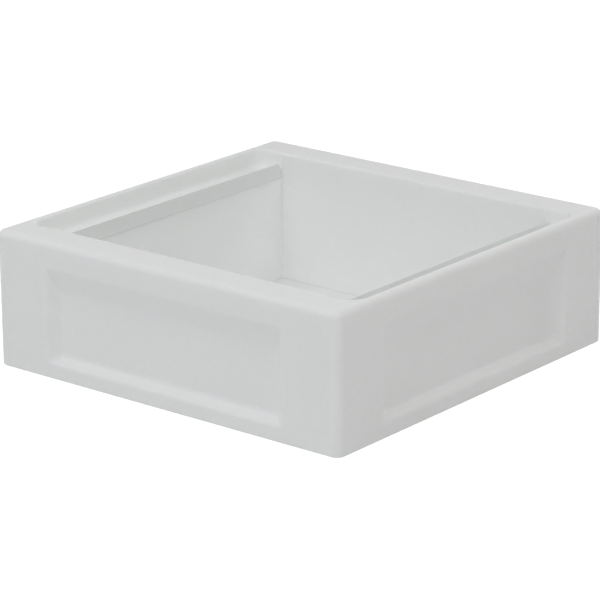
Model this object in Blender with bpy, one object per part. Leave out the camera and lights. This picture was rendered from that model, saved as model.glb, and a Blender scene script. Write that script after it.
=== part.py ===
"""One-piece expanded-polystyrene super for a British National beehive, with two push-fit frame runners.

Origin: centre of the footprint, on the surface the box stands on. X runs across the two walls that
carry the frames, Y runs along them, Z is up. All lengths are in metres.
"""

import math

import bmesh
import bpy

# Driving dimensions of the box.
OUTER_X = 0.460
OUTER_Y = 0.460
HEIGHT = 0.150
REST_WALL = 0.0456        # thickness of the left and right walls, which carry the frames
END_WALL = 0.0416         # thickness of the front and back walls

# Roundings of the moulding.
CORNER_RADIUS = 0.010     # vertical outer corners
TOP_RADIUS = 0.008        # outer edge of the rim
FOOT_RADIUS = 0.0015      # outer edge of the underside
CAVITY_RADIUS = 0.003     # vertical inner corners
RIM_RADIUS = 0.004        # inner edge of the front and back rims
UPSTAND_RADIUS = 0.0034   # inner edge of the left and right rims
END_RADIUS = 0.0045       # top edge at each end of a rebate

# Rebate for the frame lugs, along the top of each rest wall.
UPSTAND = 0.0115          # wall left standing outside the rebate
LEDGE_DEPTH = 0.0213      # ledge below the rim
REBATE_INSET = 0.0392     # from the front or back face to the end of the rebate
REBATE_FILLET = 0.0047    # fillet between upstand and ledge
END_FILLET = 0.010        # fillet between the end of the rebate and the ledge
REBATE_CORNER = 0.020     # plan radius at the upstand
REBATE_JOG = 0.0070       # how far the rebate's ends reach past the cavity's side wall
JOG_CORNER = 0.012        # plan radius there

# Hand-hold panel pressed into each outer face.
PANEL_WIDTH = 0.317
PANEL_LOW = 0.017
PANEL_HIGH = 0.121
PANEL_DEPTH = 0.011
PANEL_CORNER = 0.005
# Width of each slope, its fillet to the panel's floor and the radius of its outer edge.
PANEL_SIDE = (0.010, 0.008, 0.004)
PANEL_FOOT = (0.0075, 0.006, 0.005)
PANEL_HEAD = (0.026, 0.030, 0.004)

# Frame runner. Across the wall, places are distances in from the wall's outer face; heights are
# depths below the rim.
RUNNER_LENGTH = 0.3716
RUNNER_TOP = 0.0131       # depth of the edge that the frame lugs rest on
RUNNER_INNER = 0.0442     # its inner side at the top
RUNNER_NOSE = 0.0005      # radius of its outer top edge
SKIRT_LOW = 0.0295        # depth of the skirt's lower edge
SKIRT_LOW_INNER = 0.0477  # its inner side at that depth
SKIN = 0.0018             # thickness of the skirt, foot and leg
FOOT_OUTER = 0.0327       # outer side of the foot and of the leg under it
LEG_LOW = 0.0350          # depth of the leg's lower edge
FIT = 0.0003              # gap all round between the runner and the moulding
RECESS_LENGTH = 0.3730    # length of the recess behind the skirt

ARC_STEPS = 5             # straight pieces in a quarter circle
LEAST_RADIUS = 0.0005     # least radius of a plan corner
LEAST_STEP = 0.0001       # least height between two rings of a rebate
OVERSHOOT = 0.010         # how far a cutter passes the surface it opens

WHITE_EPS = (0.93, 0.94, 0.935, 1.0)
GREY_PLASTIC = (0.80, 0.81, 0.80, 1.0)


def clear_scene():
    for old in list(bpy.data.objects):
        bpy.data.objects.remove(old, do_unlink=True)


def material(name, colour, roughness):
    made = bpy.data.materials.new(name)
    made.use_nodes = True
    shader = made.node_tree.nodes["Principled BSDF"]
    shader.inputs["Base Color"].default_value = colour
    shader.inputs["Roughness"].default_value = roughness
    shader.inputs["Metallic"].default_value = 0.0
    return made


def link(name, shape):
    """A new object for a finished bmesh, with its faces pointing out."""
    bmesh.ops.recalc_face_normals(shape, faces=shape.faces)
    if shape.calc_volume(signed=True) < 0:
        bmesh.ops.reverse_faces(shape, faces=shape.faces)
    mesh = bpy.data.meshes.new(name)
    shape.to_mesh(mesh)
    shape.free()
    made = bpy.data.objects.new(name, mesh)
    bpy.context.scene.collection.objects.link(made)
    return made


def stack(rings):
    """A closed bmesh through rings that all have the same number of points, capped at both ends."""
    shape = bmesh.new()
    rows = [[shape.verts.new(point) for point in ring] for ring in rings]
    shape.faces.new(reversed(rows[0]))
    shape.faces.new(rows[-1])
    count = len(rows[0])
    for lower, upper in zip(rows, rows[1:]):
        for this in range(count):
            after = (this + 1) % count
            shape.faces.new((lower[this], lower[after], upper[after], upper[this]))
    return shape


def corner_arcs(low, high, radii):
    """Outline of a rounded rectangle as (x, y, angle), anticlockwise from the low-x low-y corner."""
    corners = (
        (low[0] + radii[0], low[1] + radii[0], 180),
        (high[0] - radii[1], low[1] + radii[1], 270),
        (high[0] - radii[2], high[1] - radii[2], 0),
        (low[0] + radii[3], high[1] - radii[3], 90),
    )
    outline = []
    for (x, y, start), radius in zip(corners, radii):
        for step in range(ARC_STEPS + 1):
            angle = math.radians(start + 90 * step / ARC_STEPS)
            outline.append((x + radius * math.cos(angle), y + radius * math.sin(angle), angle))
    return outline


def plan_ring(low, high, radii, grow, z):
    """A level ring of a rounded rectangle, grown outwards (or, if negative, shrunk) in x and in y."""
    radii = [max(radius + (grow[0] + grow[1]) / 2, LEAST_RADIUS) for radius in radii]
    low = (low[0] - grow[0], low[1] - grow[1])
    high = (high[0] + grow[0], high[1] + grow[1])
    return [(x, y, z) for x, y, _ in corner_arcs(low, high, radii)]


def quarter_round(radius, steps=ARC_STEPS):
    """(run, rise) pairs along a quarter circle, from (0, 0) upright to (radius, radius) level."""
    angles = [math.pi / 2 * step / steps for step in range(steps + 1)]
    return [(radius * (1 - math.cos(angle)), radius * math.sin(angle)) for angle in angles]


def outer_block():
    low = (-OUTER_X / 2, -OUTER_Y / 2)
    high = (OUTER_X / 2, OUTER_Y / 2)
    profile = [(-run, FOOT_RADIUS - rise) for run, rise in reversed(quarter_round(FOOT_RADIUS, 2))]
    profile += [(-run, HEIGHT - TOP_RADIUS + rise) for run, rise in quarter_round(TOP_RADIUS)]
    rings = [plan_ring(low, high, [CORNER_RADIUS] * 4, (grow, grow), z) for grow, z in profile]
    return link("hive_body", stack(rings))


def cavity_cutter():
    high = (OUTER_X / 2 - REST_WALL, OUTER_Y / 2 - END_WALL)
    low = (-high[0], -high[1])
    profile = [(0, -OVERSHOOT)]
    profile += [(run, HEIGHT - RIM_RADIUS + rise) for run, rise in quarter_round(RIM_RADIUS)]
    profile.append((RIM_RADIUS, HEIGHT + OVERSHOOT))
    rings = [plan_ring(low, high, [CAVITY_RADIUS] * 4, (grow, grow), z) for grow, z in profile]
    return link("cavity_cutter", stack(rings))


def edge_run(height, depth, fillet, radius):
    """How far a rebate's side has moved outwards at a height above its floor: fillet, wall, round."""
    low = max(fillet - height, 0.0)
    high = max(height - (depth - radius), 0.0)
    inwards = fillet - math.sqrt(fillet**2 - low**2)
    outwards = radius - math.sqrt(max(radius**2 - high**2, 0.0))
    return outwards - inwards


def rebate_heights():
    """Heights above the ledge for the rings of a rebate, close together where its sides curve."""
    heights = {LEDGE_DEPTH}
    for fillet in (REBATE_FILLET, END_FILLET):
        heights.update(fillet - rise for _, rise in quarter_round(fillet))
    for radius in (UPSTAND_RADIUS, END_RADIUS):
        heights.update(LEDGE_DEPTH - radius + rise for _, rise in quarter_round(radius))
    ordered = sorted(heights)
    kept = ordered[:1]
    for height in ordered[1:]:
        if height - kept[-1] > LEAST_STEP:
            kept.append(height)
    return kept


def rebate_cutter(side):
    """The lug rebate of one rest wall: side is -1 for the left wall and 1 for the right."""
    half_y = OUTER_Y / 2 - REBATE_INSET
    low = (OUTER_X / 2 - REST_WALL - REBATE_JOG, -half_y)
    high = (OUTER_X / 2 - UPSTAND, half_y)
    radii = [JOG_CORNER, REBATE_CORNER, REBATE_CORNER, JOG_CORNER]
    floor = HEIGHT - LEDGE_DEPTH
    rings = []
    for height in rebate_heights():
        grow_x = edge_run(height, LEDGE_DEPTH, REBATE_FILLET, UPSTAND_RADIUS)
        grow_y = edge_run(height, LEDGE_DEPTH, END_FILLET, END_RADIUS)
        rings.append(plan_ring(low, high, radii, (grow_x, grow_y), floor + height))
    rings.append([(x, y, HEIGHT + OVERSHOOT) for x, y, _ in rings[-1]])
    return link("rebate_cutter", stack([[(side * x, y, z) for x, y, z in ring] for ring in rings]))


def along_wall(profile, side, half_length):
    """A profile of (distance in from the outer face, depth below the rim), extruded along the wall."""
    ends = []
    for y in (-half_length, half_length):
        ends.append([(side * (OUTER_X / 2 - inset), y, HEIGHT - depth) for inset, depth in profile])
    return stack(ends)


SKIRT_LEAN = (SKIRT_LOW_INNER - RUNNER_INNER) / (SKIRT_LOW - RUNNER_TOP)


def skirt_at(depth):
    """Distance of the skirt's inner side from the wall's outer face, at a depth below the rim."""
    return RUNNER_INNER + SKIRT_LEAN * (depth - RUNNER_TOP)


def depth_at(inset):
    """Depth below the rim at which the skirt's inner side is that far from the wall's outer face."""
    return RUNNER_TOP + (inset - RUNNER_INNER) / SKIRT_LEAN


def seat_cutter(side):
    """Room for the runner's foot and leg, in the ledge."""
    above = LEDGE_DEPTH - OVERSHOOT
    floor = LEDGE_DEPTH + SKIN + FIT
    profile = [
        (REST_WALL + OVERSHOOT, above),
        (REST_WALL + OVERSHOOT, floor),
        (FOOT_OUTER + SKIN + FIT, floor),
        (FOOT_OUTER + SKIN + FIT, LEG_LOW + FIT),
        (FOOT_OUTER - FIT, LEG_LOW + FIT),
        (FOOT_OUTER - FIT, above),
    ]
    return link("seat_cutter", along_wall(profile, side, RUNNER_LENGTH / 2 + FIT))


def recess_cutter(side):
    """Room for the upper part of the runner's skirt, in the inner face of the wall."""
    above = LEDGE_DEPTH - OVERSHOOT / 2
    behind = SKIN + FIT
    low = depth_at(REST_WALL + behind)
    profile = [
        (skirt_at(LEDGE_DEPTH) - behind, above),
        (REST_WALL + OVERSHOOT / 2, above),
        (REST_WALL + OVERSHOOT / 2, low),
        (REST_WALL, low),
        (skirt_at(LEDGE_DEPTH) - behind, LEDGE_DEPTH),
    ]
    return link("recess_cutter", along_wall(profile, side, RECESS_LENGTH / 2))


def slope_profile(slope, fillet, edge_radius):
    """(inset, depth) pairs up one side of a panel, from its flat floor to clear of the outer face."""
    steepness = math.atan2(PANEL_DEPTH, slope)
    floor_tangent = fillet * math.tan(steepness / 2)
    mouth_tangent = edge_radius * math.tan(steepness / 2)
    profile = []
    for step in range(ARC_STEPS + 1):
        angle = steepness * step / ARC_STEPS
        inset = slope + floor_tangent - fillet * math.sin(angle)
        profile.append((inset, PANEL_DEPTH - fillet * (1 - math.cos(angle))))
    for step in range(ARC_STEPS + 1):
        angle = steepness * (1 - step / ARC_STEPS)
        inset = edge_radius * math.sin(angle) - mouth_tangent
        profile.append((inset, edge_radius * (1 - math.cos(angle))))
    profile.append((-mouth_tangent, -OVERSHOOT))
    return profile


def panel_cutter(quarter_turns):
    """A hand-hold panel. With no turns it is on the front, which faces -Y."""
    turn = quarter_turns * math.pi / 2
    cos, sin = round(math.cos(turn)), round(math.sin(turn))
    rings = []
    slopes = (PANEL_SIDE, PANEL_FOOT, PANEL_HEAD)
    for side, foot, head in zip(*(slope_profile(*slope) for slope in slopes)):
        half = PANEL_WIDTH / 2 - side[0]
        outline = corner_arcs(
            (-half, PANEL_LOW + foot[0]), (half, PANEL_HIGH - head[0]), [PANEL_CORNER] * 4
        )
        ring = []
        for x, z, angle in outline:
            level = foot if math.sin(angle) < 0 else head
            share = math.sin(angle) ** 2
            y = -OUTER_Y / 2 + side[1] * (1 - share) + level[1] * share
            ring.append((cos * x - sin * y, sin * x + cos * y, z))
        rings.append(ring)
    return link("panel_cutter", stack(rings))


def cut(body, cutter):
    """Adds a Boolean difference and keeps the cutter as a hidden guide."""
    cutter.hide_render = True
    cutter.display_type = "WIRE"
    modifier = body.modifiers.new(cutter.name, "BOOLEAN")
    modifier.operation = "DIFFERENCE"
    modifier.solver = "EXACT"
    modifier.object = cutter


def apply_modifiers(body):
    graph = bpy.context.evaluated_depsgraph_get()
    mesh = bpy.data.meshes.new_from_object(body.evaluated_get(graph))
    body.modifiers.clear()
    body.data = mesh


def hive_body():
    body = outer_block()
    cut(body, cavity_cutter())
    for side in (-1, 1):
        cut(body, rebate_cutter(side))
        cut(body, seat_cutter(side))
        cut(body, recess_cutter(side))
    for quarter_turns in range(4):
        cut(body, panel_cutter(quarter_turns))
    apply_modifiers(body)
    body.data.materials.append(material("eps_white", WHITE_EPS, 0.75))
    body.data.shade_smooth()
    body.data.set_sharp_from_angle(angle=math.radians(32))
    return body


def runner_profile():
    """Outline of the runner, from the crisp inner top edge down the skirt and back round the leg."""
    foot_top = LEDGE_DEPTH
    foot_low = LEDGE_DEPTH + SKIN
    skirt_end = SKIN / 2
    profile = [(RUNNER_INNER, RUNNER_TOP)]
    centre = (SKIRT_LOW_INNER - skirt_end, SKIRT_LOW - skirt_end)
    for step in range(ARC_STEPS + 1):
        angle = math.pi * step / ARC_STEPS
        profile.append(
            (centre[0] + skirt_end * math.cos(angle), centre[1] + skirt_end * math.sin(angle))
        )
    profile += [
        (skirt_at(foot_low) - SKIN, foot_low),
        (FOOT_OUTER + SKIN, foot_low),
        (FOOT_OUTER + SKIN, LEG_LOW - SKIN / 3),
        (FOOT_OUTER + 2 * SKIN / 3, LEG_LOW),
        (FOOT_OUTER + SKIN / 3, LEG_LOW),
        (FOOT_OUTER, LEG_LOW - SKIN / 3),
        (FOOT_OUTER, foot_top),
        (skirt_at(foot_top) - SKIN, foot_top),
    ]
    for step in range(ARC_STEPS + 1):
        angle = math.pi / 2 * step / ARC_STEPS
        profile.append(
            (
                RUNNER_INNER - SKIN + RUNNER_NOSE * (1 - math.cos(angle)),
                RUNNER_TOP + RUNNER_NOSE * (1 - math.sin(angle)),
            )
        )
    return profile


def frame_runner(name, side, plastic):
    runner = link(name, along_wall(runner_profile(), side, RUNNER_LENGTH / 2))
    runner.data.materials.append(plastic)
    runner.data.shade_smooth()
    runner.data.set_sharp_from_angle(angle=math.radians(40))
    return runner


def main():
    clear_scene()
    hive_body()
    plastic = material("runner_plastic", GREY_PLASTIC, 0.45)
    frame_runner("frame_runner_left", -1, plastic)
    frame_runner("frame_runner_right", 1, plastic)


main()
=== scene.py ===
"""Looks for the expanded-polystyrene hive super: its beaded moulding, its two plastic frame runners,
a plain studio and the camera."""

import math

import bmesh
import bpy
from mathutils import Matrix, Vector


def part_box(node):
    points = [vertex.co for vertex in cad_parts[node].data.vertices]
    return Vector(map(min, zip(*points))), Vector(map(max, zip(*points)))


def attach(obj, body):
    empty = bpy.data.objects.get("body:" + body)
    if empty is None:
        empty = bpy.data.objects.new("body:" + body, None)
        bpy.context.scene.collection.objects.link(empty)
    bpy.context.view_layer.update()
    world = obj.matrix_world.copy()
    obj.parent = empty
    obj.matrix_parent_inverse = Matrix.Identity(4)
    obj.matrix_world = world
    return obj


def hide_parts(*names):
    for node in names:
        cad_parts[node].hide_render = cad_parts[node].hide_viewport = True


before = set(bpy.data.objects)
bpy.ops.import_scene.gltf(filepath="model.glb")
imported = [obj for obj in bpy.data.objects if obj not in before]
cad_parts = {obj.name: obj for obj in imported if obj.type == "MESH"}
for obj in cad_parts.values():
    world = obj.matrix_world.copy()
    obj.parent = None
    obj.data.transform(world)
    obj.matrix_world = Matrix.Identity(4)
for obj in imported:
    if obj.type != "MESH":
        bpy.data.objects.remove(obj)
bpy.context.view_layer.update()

BODY_LOW, BODY_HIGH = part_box("hive_body")
HALF_X = BODY_HIGH.x
HALF_Y = BODY_HIGH.y
HEIGHT = BODY_HIGH.z

# Walls of the moulding, in metres.
REST_WALL = 0.0456
END_WALL = 0.0416
CORNER_RADIUS = 0.010
TOP_RADIUS = 0.008
FOOT_RADIUS = 0.0015
CAVITY_RADIUS = 0.003
RIM_RADIUS = 0.004
UPSTAND_RADIUS = 0.0034
END_RADIUS = 0.0045

# Rebate for the frame lugs.
UPSTAND = 0.0115
LEDGE_DEPTH = 0.0213
REBATE_INSET = 0.0392
REBATE_FILLET = 0.0047
END_FILLET = 0.010
REBATE_CORNER = 0.020
REBATE_JOG = 0.0070
JOG_CORNER = 0.012

# Hand-hold panels.
PANEL_WIDTH = 0.317
PANEL_LOW = 0.017
PANEL_HIGH = 0.121
PANEL_DEPTH = 0.011
PANEL_CORNER = 0.005
# Width of each slope, its fillet to the panel's floor and the radius of its outer edge.
PANEL_SIDE = (0.010, 0.008, 0.004)
PANEL_FOOT = (0.0075, 0.006, 0.005)
PANEL_HEAD = (0.026, 0.030, 0.004)

# Frame runners. The outer side tapers from RUNNER_OUTER at the top to RUNNER_BASE at the ledge.
RUNNER_TOP = 0.0131
RUNNER_INNER = 0.0442
RUNNER_OUTER = 0.0424
RUNNER_BASE = 0.0410
RUNNER_NOSE = 0.0005
SKIRT_LOW = 0.0295
SKIRT_LOW_INNER = 0.0477
SKIRT_LEAN = (SKIRT_LOW_INNER - RUNNER_INNER) / (SKIRT_LOW - RUNNER_TOP)
SKIN = 0.0018
INNER_EDGE = 0.00035
FOOT_OUTER = 0.0327
LEG_LOW = 0.0350
FIT = 0.0003
RECESS_LENGTH = 0.3730

# Fineness of the round edges, and the angles in degrees above which an edge is shaded sharp.
ARC_STEPS = 10
FOOT_STEPS = 4
EDGE_STEPS = 3
BODY_SHARP = 32
RUNNER_SHARP = 40
LEAST_RADIUS = 0.0005
LEAST_STEP = 0.0001
OVERSHOOT = 0.010

# Camera: where it stands in metres, its heading, tilt down and roll in radians, its lens in mm.
CAMERA_PLACE = (1.97189, -2.42266, 1.07727)
CAMERA_HEADING = 0.68439
CAMERA_TILT = 0.31524
CAMERA_ROLL = -0.00658
CAMERA_LENS = 184.53
SENSOR_WIDTH = 36.0
CLIP_END = 50.0


# Geometry


def stack(rings):
    shape = bmesh.new()
    rows = [[shape.verts.new(point) for point in ring] for ring in rings]
    shape.faces.new(reversed(rows[0]))
    shape.faces.new(rows[-1])
    count = len(rows[0])
    for lower, upper in zip(rows, rows[1:]):
        for this in range(count):
            after = (this + 1) % count
            shape.faces.new((lower[this], lower[after], upper[after], upper[this]))
    return shape


def link(name, shape):
    bmesh.ops.recalc_face_normals(shape, faces=shape.faces)
    if shape.calc_volume(signed=True) < 0:
        bmesh.ops.reverse_faces(shape, faces=shape.faces)
    mesh = bpy.data.meshes.new(name)
    shape.to_mesh(mesh)
    shape.free()
    made = bpy.data.objects.new(name, mesh)
    bpy.context.scene.collection.objects.link(made)
    return made


def corner_arcs(low, high, radii):
    corners = (
        (low[0] + radii[0], low[1] + radii[0], 180),
        (high[0] - radii[1], low[1] + radii[1], 270),
        (high[0] - radii[2], high[1] - radii[2], 0),
        (low[0] + radii[3], high[1] - radii[3], 90),
    )
    outline = []
    for (x, y, start), radius in zip(corners, radii):
        for step in range(ARC_STEPS + 1):
            angle = math.radians(start + 90 * step / ARC_STEPS)
            outline.append((x + radius * math.cos(angle), y + radius * math.sin(angle), angle))
    return outline


def plan_ring(low, high, radii, grow, z):
    """A level ring of a rounded rectangle, grown outwards (or, if negative, shrunk) in x and in y."""
    radii = [max(radius + (grow[0] + grow[1]) / 2, LEAST_RADIUS) for radius in radii]
    low = (low[0] - grow[0], low[1] - grow[1])
    high = (high[0] + grow[0], high[1] + grow[1])
    return [(x, y, z) for x, y, _ in corner_arcs(low, high, radii)]


def quarter_round(radius, steps=ARC_STEPS):
    angles = [math.pi / 2 * step / steps for step in range(steps + 1)]
    return [(radius * (1 - math.cos(angle)), radius * math.sin(angle)) for angle in angles]


def outer_block():
    foot = reversed(quarter_round(FOOT_RADIUS, FOOT_STEPS))
    profile = [(-run, FOOT_RADIUS - rise) for run, rise in foot]
    profile += [(-run, HEIGHT - TOP_RADIUS + rise) for run, rise in quarter_round(TOP_RADIUS)]
    rings = [
        plan_ring((-HALF_X, -HALF_Y), (HALF_X, HALF_Y), [CORNER_RADIUS] * 4, (grow, grow), z)
        for grow, z in profile
    ]
    return link("eps_moulding", stack(rings))


def cavity_cutter():
    high = (HALF_X - REST_WALL, HALF_Y - END_WALL)
    low = (-high[0], -high[1])
    profile = [(0, -OVERSHOOT)]
    profile += [(run, HEIGHT - RIM_RADIUS + rise) for run, rise in quarter_round(RIM_RADIUS)]
    profile.append((RIM_RADIUS, HEIGHT + OVERSHOOT))
    rings = [plan_ring(low, high, [CAVITY_RADIUS] * 4, (grow, grow), z) for grow, z in profile]
    return link("cavity_cutter", stack(rings))


def edge_run(height, depth, fillet, radius):
    """How far a rebate's side has moved outwards at a height above its floor: fillet, wall, round."""
    low = max(fillet - height, 0.0)
    high = max(height - (depth - radius), 0.0)
    inwards = fillet - math.sqrt(fillet**2 - low**2)
    outwards = radius - math.sqrt(max(radius**2 - high**2, 0.0))
    return outwards - inwards


def rebate_heights():
    """Heights above the ledge for the rings of a rebate, close together where its sides curve."""
    heights = {LEDGE_DEPTH}
    for fillet in (REBATE_FILLET, END_FILLET):
        heights.update(fillet - rise for _, rise in quarter_round(fillet))
    for radius in (UPSTAND_RADIUS, END_RADIUS):
        heights.update(LEDGE_DEPTH - radius + rise for _, rise in quarter_round(radius))
    ordered = sorted(heights)
    kept = ordered[:1]
    for height in ordered[1:]:
        if height - kept[-1] > LEAST_STEP:
            kept.append(height)
    return kept


def rebate_cutter(side):
    """The lug rebate of one rest wall: side is -1 for the left wall and 1 for the right."""
    half_y = HALF_Y - REBATE_INSET
    low = (HALF_X - REST_WALL - REBATE_JOG, -half_y)
    high = (HALF_X - UPSTAND, half_y)
    radii = [JOG_CORNER, REBATE_CORNER, REBATE_CORNER, JOG_CORNER]
    floor = HEIGHT - LEDGE_DEPTH
    rings = []
    for height in rebate_heights():
        grow_x = edge_run(height, LEDGE_DEPTH, REBATE_FILLET, UPSTAND_RADIUS)
        grow_y = edge_run(height, LEDGE_DEPTH, END_FILLET, END_RADIUS)
        rings.append(plan_ring(low, high, radii, (grow_x, grow_y), floor + height))
    rings.append([(x, y, HEIGHT + OVERSHOOT) for x, y, _ in rings[-1]])
    return link("rebate_cutter", stack([[(side * x, y, z) for x, y, z in ring] for ring in rings]))


def along_wall(profile, side, half_length):
    ends = []
    for y in (-half_length, half_length):
        ends.append([(side * (HALF_X - inset), y, HEIGHT - depth) for inset, depth in profile])
    return stack(ends)


def skirt_at(depth):
    """Distance of the skirt's inner side from the wall's outer face, at a depth below the rim."""
    return RUNNER_INNER + SKIRT_LEAN * (depth - RUNNER_TOP)


def depth_at(inset):
    """Depth below the rim at which the skirt's inner side is that far from the wall's outer face."""
    return RUNNER_TOP + (inset - RUNNER_INNER) / SKIRT_LEAN


def seat_cutter(side, half_length):
    above = LEDGE_DEPTH - OVERSHOOT
    floor = LEDGE_DEPTH + SKIN + FIT
    profile = [
        (REST_WALL + OVERSHOOT, above),
        (REST_WALL + OVERSHOOT, floor),
        (FOOT_OUTER + SKIN + FIT, floor),
        (FOOT_OUTER + SKIN + FIT, LEG_LOW + FIT),
        (FOOT_OUTER - FIT, LEG_LOW + FIT),
        (FOOT_OUTER - FIT, above),
    ]
    return link("seat_cutter", along_wall(profile, side, half_length + FIT))


def recess_cutter(side):
    """Room for the upper part of the runner's skirt, in the inner face of the wall."""
    above = LEDGE_DEPTH - OVERSHOOT / 2
    behind = SKIN + FIT
    low = depth_at(REST_WALL + behind)
    profile = [
        (skirt_at(LEDGE_DEPTH) - behind, above),
        (REST_WALL + OVERSHOOT / 2, above),
        (REST_WALL + OVERSHOOT / 2, low),
        (REST_WALL, low),
        (skirt_at(LEDGE_DEPTH) - behind, LEDGE_DEPTH),
    ]
    return link("recess_cutter", along_wall(profile, side, RECESS_LENGTH / 2))


def slope_profile(slope, fillet, edge_radius):
    """(inset, depth) pairs up one side of a panel, from its flat floor to clear of the outer face."""
    steepness = math.atan2(PANEL_DEPTH, slope)
    floor_tangent = fillet * math.tan(steepness / 2)
    mouth_tangent = edge_radius * math.tan(steepness / 2)
    profile = []
    for step in range(ARC_STEPS + 1):
        angle = steepness * step / ARC_STEPS
        inset = slope + floor_tangent - fillet * math.sin(angle)
        profile.append((inset, PANEL_DEPTH - fillet * (1 - math.cos(angle))))
    for step in range(ARC_STEPS + 1):
        angle = steepness * (1 - step / ARC_STEPS)
        inset = edge_radius * math.sin(angle) - mouth_tangent
        profile.append((inset, edge_radius * (1 - math.cos(angle))))
    profile.append((-mouth_tangent, -OVERSHOOT))
    return profile


def panel_cutter(quarter_turns):
    turn = quarter_turns * math.pi / 2
    cos, sin = round(math.cos(turn)), round(math.sin(turn))
    rings = []
    slopes = (PANEL_SIDE, PANEL_FOOT, PANEL_HEAD)
    for side, foot, head in zip(*(slope_profile(*slope) for slope in slopes)):
        half = PANEL_WIDTH / 2 - side[0]
        outline = corner_arcs(
            (-half, PANEL_LOW + foot[0]), (half, PANEL_HIGH - head[0]), [PANEL_CORNER] * 4
        )
        ring = []
        for x, z, angle in outline:
            level = foot if math.sin(angle) < 0 else head
            share = math.sin(angle) ** 2
            y = -HALF_Y + side[1] * (1 - share) + level[1] * share
            ring.append((cos * x - sin * y, sin * x + cos * y, z))
        rings.append(ring)
    return link("panel_cutter", stack(rings))


def carve(body, cutters):
    for cutter in cutters:
        modifier = body.modifiers.new(cutter.name, "BOOLEAN")
        modifier.operation = "DIFFERENCE"
        modifier.solver = "EXACT"
        modifier.object = cutter
    graph = bpy.context.evaluated_depsgraph_get()
    mesh = bpy.data.meshes.new_from_object(body.evaluated_get(graph))
    body.modifiers.clear()
    body.data = mesh
    for cutter in cutters:
        bpy.data.objects.remove(cutter, do_unlink=True)


def soften(body, sharp_degrees):
    """Smooth shading that leaves the large flat faces flat."""
    body.data.shade_smooth()
    body.data.set_sharp_from_angle(angle=math.radians(sharp_degrees))
    weighted = body.modifiers.new("weighted_normals", "WEIGHTED_NORMAL")
    weighted.mode = "FACE_AREA"
    weighted.weight = 100
    weighted.keep_sharp = True


def eps_moulding(runner_half):
    body = outer_block()
    cutters = [cavity_cutter()]
    for side in (-1, 1):
        cutters += [rebate_cutter(side), seat_cutter(side, runner_half), recess_cutter(side)]
    cutters += [panel_cutter(turns) for turns in range(4)]
    carve(body, cutters)
    soften(body, BODY_SHARP)
    return body


# Materials


class Nodes:
    """Short calls for building one material's node tree."""

    def __init__(self, name):
        self.material = bpy.data.materials.new(name)
        self.material.use_nodes = True
        self.tree = self.material.node_tree
        self.shader = self.tree.nodes["Principled BSDF"]

    def add(self, kind, **settings):
        node = self.tree.nodes.new(kind)
        for key, value in settings.items():
            setattr(node, key, value)
        return node

    def wire(self, source, target):
        if isinstance(source, (int, float, tuple)):
            target.default_value = source
        else:
            self.tree.links.new(source, target)

    def math(self, operation, a, b=0.0, c=0.0):
        node = self.add("ShaderNodeMath", operation=operation)
        for value, socket in zip((a, b, c), node.inputs):
            self.wire(value, socket)
        return node.outputs[0]

    def fade(self, value, low, high, to_low=0.0, to_high=1.0):
        node = self.add("ShaderNodeMapRange", interpolation_type="SMOOTHSTEP")
        for source, key in (
            (value, "Value"), (low, "From Min"), (high, "From Max"),
            (to_low, "To Min"), (to_high, "To Max"),
        ):
            self.wire(source, node.inputs[key])
        return node.outputs["Result"]

    def noise(self, vector, scale, detail=2.0, roughness=0.5):
        node = self.add("ShaderNodeTexNoise", noise_dimensions="3D")
        self.wire(vector, node.inputs["Vector"])
        node.inputs["Scale"].default_value = scale
        node.inputs["Detail"].default_value = detail
        node.inputs["Roughness"].default_value = roughness
        return node.outputs["Fac"]

    def cells(self, vector, scale, feature, randomness=1.0):
        node = self.add("ShaderNodeTexVoronoi", voronoi_dimensions="3D", feature=feature)
        self.wire(vector, node.inputs["Vector"])
        node.inputs["Scale"].default_value = scale
        node.inputs["Randomness"].default_value = randomness
        return node

    def stretch(self, vector, factors):
        node = self.add("ShaderNodeVectorMath", operation="MULTIPLY")
        self.wire(vector, node.inputs[0])
        node.inputs[1].default_value = factors
        return node.outputs["Vector"]

    def tint(self, factor, dark, light):
        node = self.add("ShaderNodeMix", data_type="RGBA", clamp_factor=True)
        self.wire(factor, node.inputs["Factor"])
        # Several sockets of a mix node share a name: these are the ones for colours.
        node.inputs[6].default_value = dark
        node.inputs[7].default_value = light
        return node.outputs[2]

    def bump(self, height, distance, strength, below=None):
        node = self.add("ShaderNodeBump")
        node.inputs["Distance"].default_value = distance
        node.inputs["Strength"].default_value = strength
        self.wire(height, node.inputs["Height"])
        if below is not None:
            self.tree.links.new(below, node.inputs["Normal"])
        return node.outputs["Normal"]


# Bead foam. Sizes and reliefs are in metres, noise and cell scales per metre, colours linear.
BEAD_SIZE = 0.0042
BEAD_DISORDER = 0.9
GROOVE_SHARE = 0.10
PIT_SCALE = 52.0
PIT_EDGE = (0.035, 0.075)
BROAD_SCALE = 7.0
PATCH_SCALE = 55.0
GRAIN_SCALE = 420.0
WEAR_REACH = (0.001, 0.010)
WEAR_PATCHES = (0.40, 0.62)
EPS_DARK = (0.943, 0.9555, 0.950, 1.0)
EPS_LIGHT = (0.985, 0.9945, 0.992, 1.0)
EPS_SPECULAR = 0.30
BEAD_RELIEF = 0.00012
BEAD_STRENGTH = 0.30
WAVE_RELIEF = 0.0009
WAVE_STRENGTH = 0.18
SCATTER_SHARE = 0.35
SCATTER_DEPTH = 0.005
SCATTER_COLOUR = (1.0, 0.95, 0.90)

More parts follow.
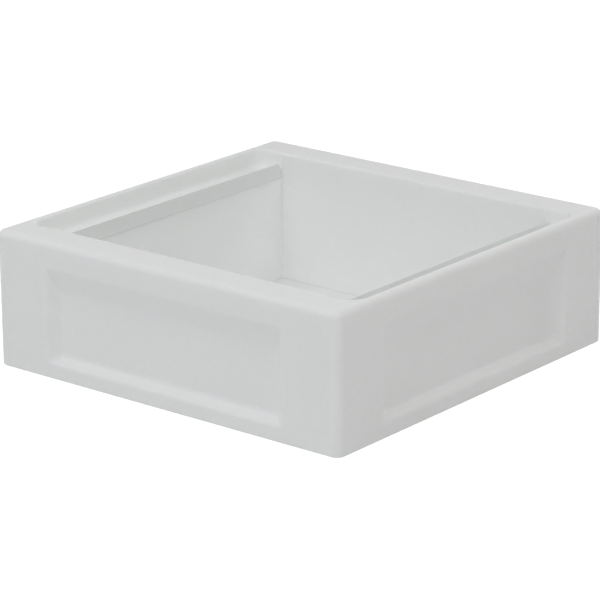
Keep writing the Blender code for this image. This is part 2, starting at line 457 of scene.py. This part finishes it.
# Runner plastic. The stretches draw its patterns out along the runner, in y.
LINE_STRETCH = (1.0, 0.02, 1.0)
LINE_SCALE = 1500.0
SCUFF_STRETCH = (1.0, 0.25, 1.0)
SCUFF_SCALE = 320.0
SCUFF_EDGE = (0.56, 0.70)
CLOUD_SCALE = 45.0
SPECK_SCALE = 260.0
SPECK_EDGE = (0.04, 0.10)
RUNNER_DARK = (0.795, 0.811, 0.800, 1.0)
RUNNER_LIGHT = (0.845, 0.861, 0.850, 1.0)
RUNNER_SPECULAR = 0.40
LINE_RELIEF = 0.00004
LINE_STRENGTH = 0.35


def edge_nearness(n, place):
    """1 at the outer edges of the box, fading to 0 over about 9 mm."""
    split = n.add("ShaderNodeSeparateXYZ")
    n.wire(place, split.inputs[0])
    from_x = n.math("SUBTRACT", HALF_X, n.math("ABSOLUTE", split.outputs["X"]))
    from_y = n.math("SUBTRACT", HALF_Y, n.math("ABSOLUTE", split.outputs["Y"]))
    from_z = n.math("MINIMUM", split.outputs["Z"], n.math("SUBTRACT", HEIGHT, split.outputs["Z"]))
    nearer = n.math("MINIMUM", from_x, from_y)
    farther = n.math("MAXIMUM", from_x, from_y)
    second = n.math("MAXIMUM", nearer, n.math("MINIMUM", farther, from_z))
    return n.fade(second, *WEAR_REACH, 1.0, 0.0)


def eps_material():
    n = Nodes("expanded_polystyrene")
    place = n.add("ShaderNodeTexCoord").outputs["Object"]
    grain = n.noise(place, GRAIN_SCALE)
    edge = n.cells(place, 1 / BEAD_SIZE, "DISTANCE_TO_EDGE", BEAD_DISORDER).outputs["Distance"]
    bead = n.cells(place, 1 / BEAD_SIZE, "F1", BEAD_DISORDER)
    groove = n.fade(edge, 0.0, GROOVE_SHARE)
    dome = n.fade(bead.outputs["Distance"], 0.0, 0.75, 1.0, 0.0)
    own = n.add("ShaderNodeSeparateColor")
    n.wire(bead.outputs["Color"], own.inputs[0])
    pits = n.cells(place, PIT_SCALE, "F1").outputs["Distance"]
    pit = n.fade(pits, *PIT_EDGE, 1.0, 0.0)
    broad = n.noise(place, BROAD_SCALE)
    patch = n.noise(place, PATCH_SCALE, 3.0)
    worn = n.math("MULTIPLY", edge_nearness(n, place), n.fade(patch, *WEAR_PATCHES))

    # Each bead has its own tone. Grooves, worn edges and pits are darker.
    shade = n.math("MULTIPLY_ADD", own.outputs["Red"], 0.34, 0.38)
    shade = n.math("MULTIPLY_ADD", n.math("SUBTRACT", broad, 0.5), 0.55, shade)
    shade = n.math("MULTIPLY_ADD", n.math("SUBTRACT", 1.0, groove), -0.40, shade)
    shade = n.math("MULTIPLY_ADD", worn, -0.22, shade)
    shade = n.math("MULTIPLY_ADD", pit, -1.2, shade)
    n.wire(n.tint(shade, EPS_DARK, EPS_LIGHT), n.shader.inputs["Base Color"])

    rough = n.math("MULTIPLY_ADD", own.outputs["Green"], 0.14, 0.62)
    rough = n.math("MULTIPLY_ADD", worn, 0.12, rough)
    n.wire(rough, n.shader.inputs["Roughness"])

    height = n.math("MULTIPLY_ADD", dome, 0.45, groove)
    height = n.math("MULTIPLY_ADD", own.outputs["Blue"], 0.35, height)
    height = n.math("MULTIPLY_ADD", pit, -2.0, height)
    height = n.math("MULTIPLY_ADD", grain, 0.15, height)
    waves = n.bump(patch, WAVE_RELIEF, WAVE_STRENGTH)
    beads = n.bump(height, BEAD_RELIEF, BEAD_STRENGTH, waves)
    n.wire(beads, n.shader.inputs["Normal"])
    n.shader.inputs["Specular IOR Level"].default_value = EPS_SPECULAR
    n.shader.inputs["Subsurface Weight"].default_value = SCATTER_SHARE
    n.shader.inputs["Subsurface Radius"].default_value = SCATTER_COLOUR
    n.shader.inputs["Subsurface Scale"].default_value = SCATTER_DEPTH
    return n.material


def runner_material():
    n = Nodes("runner_plastic")
    place = n.add("ShaderNodeTexCoord").outputs["Object"]
    lines = n.noise(n.stretch(place, LINE_STRETCH), LINE_SCALE, 3.0)
    cloud = n.noise(place, CLOUD_SCALE, 3.0)
    specks = n.cells(place, SPECK_SCALE, "F1").outputs["Distance"]
    speck = n.fade(specks, *SPECK_EDGE, 1.0, 0.0)
    scuffs = n.noise(n.stretch(place, SCUFF_STRETCH), SCUFF_SCALE, 4.0)
    scuff = n.fade(scuffs, *SCUFF_EDGE)

    shade = n.math("MULTIPLY_ADD", cloud, 0.55, 0.10)
    shade = n.math("MULTIPLY_ADD", lines, 0.35, shade)
    shade = n.math("MULTIPLY_ADD", scuff, 0.25, shade)
    shade = n.math("MULTIPLY_ADD", speck, -0.5, shade)
    n.wire(n.tint(shade, RUNNER_DARK, RUNNER_LIGHT), n.shader.inputs["Base Color"])
    rough = n.math("MULTIPLY_ADD", cloud, 0.16, 0.36)
    rough = n.math("MULTIPLY_ADD", scuff, 0.14, rough)
    n.wire(rough, n.shader.inputs["Roughness"])
    height = n.math("MULTIPLY_ADD", scuff, -0.5, lines)
    n.wire(n.bump(height, LINE_RELIEF, LINE_STRENGTH), n.shader.inputs["Normal"])
    n.shader.inputs["Specular IOR Level"].default_value = RUNNER_SPECULAR
    return n.material


def floor_material(name, albedo, glow):
    n = Nodes(name)
    n.shader.inputs["Base Color"].default_value = (albedo, albedo, albedo, 1.0)
    n.shader.inputs["Roughness"].default_value = 1.0
    n.shader.inputs["Specular IOR Level"].default_value = 0.0
    n.shader.inputs["Emission Color"].default_value = (1.0, 1.0, 1.0, 1.0)
    n.shader.inputs["Emission Strength"].default_value = glow
    return n.material


# Runners


def runner_profile():
    foot_low = LEDGE_DEPTH + SKIN
    skirt_end = SKIN / 2
    profile = []
    for step in range(EDGE_STEPS + 1):
        angle = math.pi / 2 * (1 - step / EDGE_STEPS)
        profile.append(
            (
                RUNNER_INNER - INNER_EDGE * (1 - math.cos(angle)),
                RUNNER_TOP + INNER_EDGE * (1 - math.sin(angle)),
            )
        )
    centre = (SKIRT_LOW_INNER - skirt_end, SKIRT_LOW - skirt_end)
    for step in range(ARC_STEPS + 1):
        angle = math.pi * step / ARC_STEPS
        profile.append(
            (centre[0] + skirt_end * math.cos(angle), centre[1] + skirt_end * math.sin(angle))
        )
    profile += [
        (skirt_at(foot_low) - SKIN, foot_low),
        (FOOT_OUTER + SKIN, foot_low),
        (FOOT_OUTER + SKIN, LEG_LOW - SKIN / 3),
        (FOOT_OUTER + 2 * SKIN / 3, LEG_LOW),
        (FOOT_OUTER + SKIN / 3, LEG_LOW),
        (FOOT_OUTER, LEG_LOW - SKIN / 3),
        (FOOT_OUTER, LEDGE_DEPTH),
        (RUNNER_BASE, LEDGE_DEPTH),
    ]
    for step in range(ARC_STEPS + 1):
        angle = math.pi / 2 * step / ARC_STEPS
        profile.append(
            (
                RUNNER_OUTER + RUNNER_NOSE * (1 - math.cos(angle)),
                RUNNER_TOP + RUNNER_NOSE * (1 - math.sin(angle)),
            )
        )
    return profile


def runner_strip(name, side, node):
    low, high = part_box(node)
    strip = link(name, along_wall(runner_profile(), side, (high.y - low.y) / 2))
    soften(strip, RUNNER_SHARP)
    return strip


# Studio


# Both floors: half their side, the half side of the white one's hole, heights, reflectance, glow.
FLOOR_REACH = 14.0
FLOOR_HOLE = 0.21
SHEET_HEIGHT = -0.0003
SHEET_ALBEDO = 0.30
SHEET_GLOW = 1.0
BOUNCE_HEIGHT = -0.0004
BOUNCE_ALBEDO = 0.80
BOUNCE_GLOW = 0.059
BACKGROUND = 1.0
DIFFUSE_BOUNCES = 12
LAMP_DISTANCE = 3.0
LAMP_SIDE = 2.0
NEUTRAL = (1.0, 1.0, 1.0)
WARM = (1.0, 0.998, 0.975)
COOL = (0.99, 1.0, 1.012)
# Softboxes: name, heading and height in degrees as seen from the box, watts and colour.
SOFTBOXES = (
    ("front_low", 180.0, 20.0, 6.4, COOL),
    ("front_high", 180.0, 55.0, 25.1, COOL),
    ("front_right_low", 135.0, 20.0, 5.0, NEUTRAL),
    ("right_low", 90.0, 20.0, 8.8, WARM),
    ("right_high", 90.0, 55.0, 13.5, WARM),
    ("back_right_high", 45.0, 55.0, 6.5, WARM),
    ("front_left_low", 225.0, 20.0, 7.5, COOL),
    ("front_left_high", 225.0, 55.0, 2.6, COOL),
    ("left_high", 270.0, 55.0, 15.6, NEUTRAL),
    ("back_low", 0.0, 20.0, 31.8, NEUTRAL),
)


def square(reach):
    return [(-reach, -reach), (reach, -reach), (reach, reach), (-reach, reach)]


def floor(name, z, material, hole):
    """A level sheet, with a square hole in the middle if hole is above 0."""
    shape = bmesh.new()
    outer = [shape.verts.new((x, y, z)) for x, y in square(FLOOR_REACH)]
    if hole > 0:
        inner = [shape.verts.new((x, y, z)) for x, y in square(hole)]
        for this in range(4):
            after = (this + 1) % 4
            shape.faces.new((outer[this], outer[after], inner[after], inner[this]))
    else:
        shape.faces.new(outer)
    mesh = bpy.data.meshes.new(name)
    shape.to_mesh(mesh)
    shape.free()
    made = bpy.data.objects.new(name, mesh)
    made.data.materials.append(material)
    bpy.context.scene.collection.objects.link(made)
    return made


def studio_floors():
    """A white sheet round the box, over a grey one that lights it from below and shows inside it."""
    white = floor_material("floor_white", SHEET_ALBEDO, SHEET_GLOW)
    sheet = floor("floor", SHEET_HEIGHT, white, FLOOR_HOLE)
    sheet.visible_diffuse = False
    sheet.visible_glossy = False
    sheet.visible_transmission = False
    sheet.visible_shadow = False
    grey = floor_material("floor_grey", BOUNCE_ALBEDO, BOUNCE_GLOW)
    floor("bounce_floor", BOUNCE_HEIGHT, grey, 0.0)


def softboxes():
    for name, heading, height, watts, colour in SOFTBOXES:
        lamp = bpy.data.lights.new(name, "AREA")
        lamp.shape = "SQUARE"
        lamp.size = LAMP_SIDE
        lamp.energy = watts
        lamp.color = colour
        made = bpy.data.objects.new(name, lamp)
        bpy.context.scene.collection.objects.link(made)
        azimuth, elevation = math.radians(heading), math.radians(height)
        toward = Vector(
            (
                math.sin(azimuth) * math.cos(elevation),
                math.cos(azimuth) * math.cos(elevation),
                math.sin(elevation),
            )
        )
        made.location = toward * LAMP_DISTANCE
        made.rotation_euler = toward.to_track_quat("Z", "Y").to_euler()
        made.visible_camera = False


def white_surroundings():
    """A white world that only the camera sees: the softboxes do the lighting."""
    world = bpy.data.worlds.new("studio")
    bpy.context.scene.world = world
    world.use_nodes = True
    background = world.node_tree.nodes["Background"]
    background.inputs["Color"].default_value = (1.0, 1.0, 1.0, 1.0)
    background.inputs["Strength"].default_value = BACKGROUND
    world.cycles_visibility.diffuse = False
    world.cycles_visibility.glossy = False
    world.cycles_visibility.transmission = False


def camera():
    lens = bpy.data.cameras.new("camera")
    lens.lens = CAMERA_LENS
    lens.sensor_width = SENSOR_WIDTH
    lens.clip_end = CLIP_END
    made = bpy.data.objects.new("camera", lens)
    bpy.context.scene.collection.objects.link(made)
    bpy.context.scene.camera = made
    back = Vector(
        (
            math.sin(CAMERA_HEADING) * math.cos(CAMERA_TILT),
            -math.cos(CAMERA_HEADING) * math.cos(CAMERA_TILT),
            math.sin(CAMERA_TILT),
        )
    )
    right = Vector((math.cos(CAMERA_HEADING), math.sin(CAMERA_HEADING), 0.0))
    up = back.cross(right)
    cos, sin = math.cos(CAMERA_ROLL), math.sin(CAMERA_ROLL)
    right, up = cos * right + sin * up, cos * up - sin * right
    turn = Matrix((right, up, back)).transposed().to_4x4()
    made.matrix_world = Matrix.Translation(CAMERA_PLACE) @ turn


def build():
    eps = eps_material()
    plastic = runner_material()
    low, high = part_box("frame_runner_left")
    body = eps_moulding((high.y - low.y) / 2)
    body.data.materials.append(eps)
    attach(body, "hive_body")
    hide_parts("hive_body")
    for side, name in ((-1, "left"), (1, "right")):
        node = "frame_runner_" + name
        strip = runner_strip("runner_strip_" + name, side, node)
        strip.data.materials.append(plastic)
        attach(strip, name + "_runner")
        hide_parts(node)


build()
studio_floors()
softboxes()
white_surroundings()
camera()
view = bpy.context.scene.view_settings
view.view_transform = "Standard"
view.look = "None"
view.exposure = 0.0
bpy.context.scene.cycles.diffuse_bounces = DIFFUSE_BOUNCES
